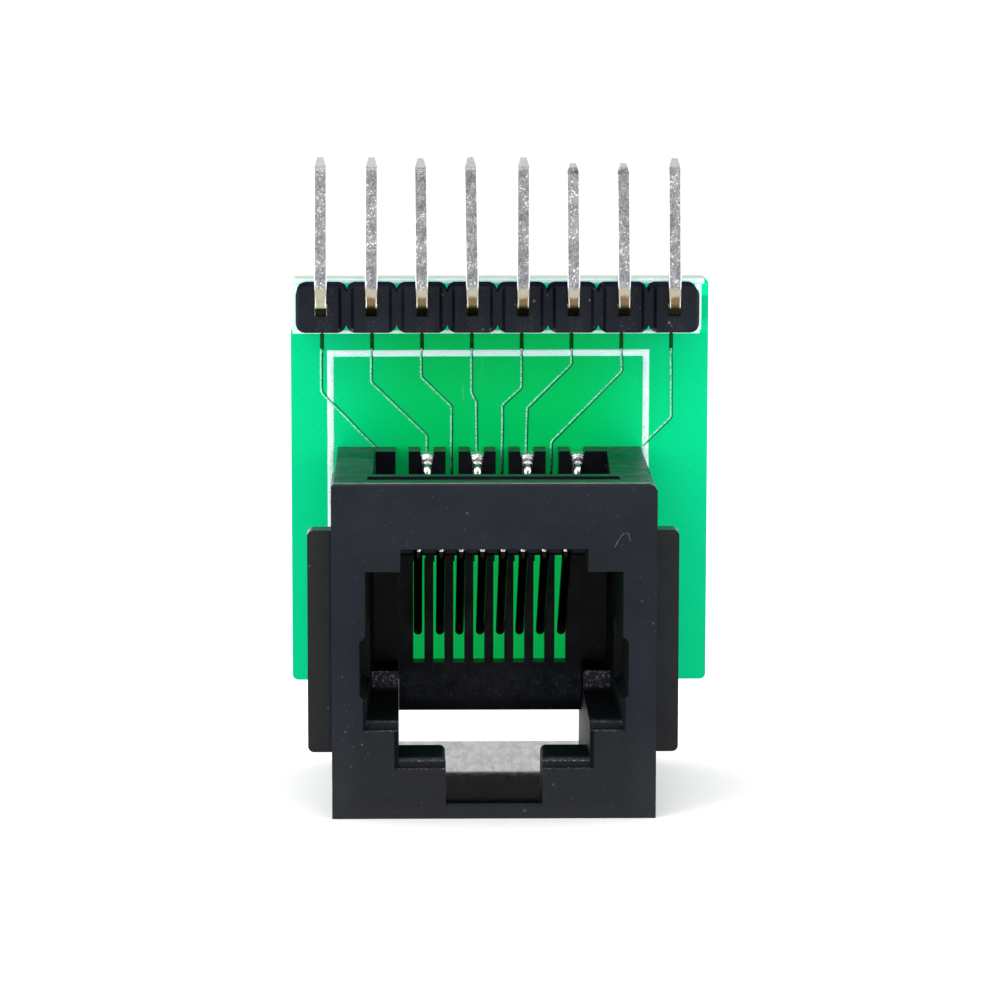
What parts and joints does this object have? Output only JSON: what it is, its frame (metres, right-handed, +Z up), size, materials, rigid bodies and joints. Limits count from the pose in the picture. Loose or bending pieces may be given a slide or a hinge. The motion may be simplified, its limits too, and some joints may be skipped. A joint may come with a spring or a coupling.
{
  "type": "RJ45 jack on a breakout board",
  "caption": "Black vertical network jack soldered to a small green breakout board, with a row of right-angle header pins along the board's top edge.",
  "frame": {"origin": "centre of the bounding box in X and Y, at the height of the jack wall it stands on", "axes": "+Z up along the header pins, -Y out of the jack's mouth, +X to the right when looking into the mouth"},
  "size_m": [0.0212, 0.0166, 0.0313],
  "materials": {
    "board_mask": "green solder mask with pale tracks and silk lines",
    "jack_black": "fine moulded texture",
    "insert_black": "satin moulded",
    "contact_gold": "gold over nickel",
    "header_black": "satin moulded",
    "pin_tin": "tin plated, worn to the base metal near the bend",
    "solder": "bright solder"
  },
  "bodies": {
    "root": {"pcb": "board_mask", "jack_housing": "jack_black", "contact_insert": "insert_black", "contact_wire_1": "contact_gold", "contact_wire_2": "contact_gold", "contact_wire_3": "contact_gold", "contact_wire_4": "contact_gold", "contact_wire_5": "contact_gold", "contact_wire_6": "contact_gold", "contact_wire_7": "contact_gold", "contact_wire_8": "contact_gold", "header_block": "header_black", "header_pin_1": "pin_tin", "header_pin_2": "pin_tin", "header_pin_3": "pin_tin", "header_pin_4": "pin_tin", "header_pin_5": "pin_tin", "header_pin_6": "pin_tin", "header_pin_7": "pin_tin", "header_pin_8": "pin_tin", "jack_solder_joints": "solder", "header_solder_joints": "solder"}
  },
  "joints": []
}
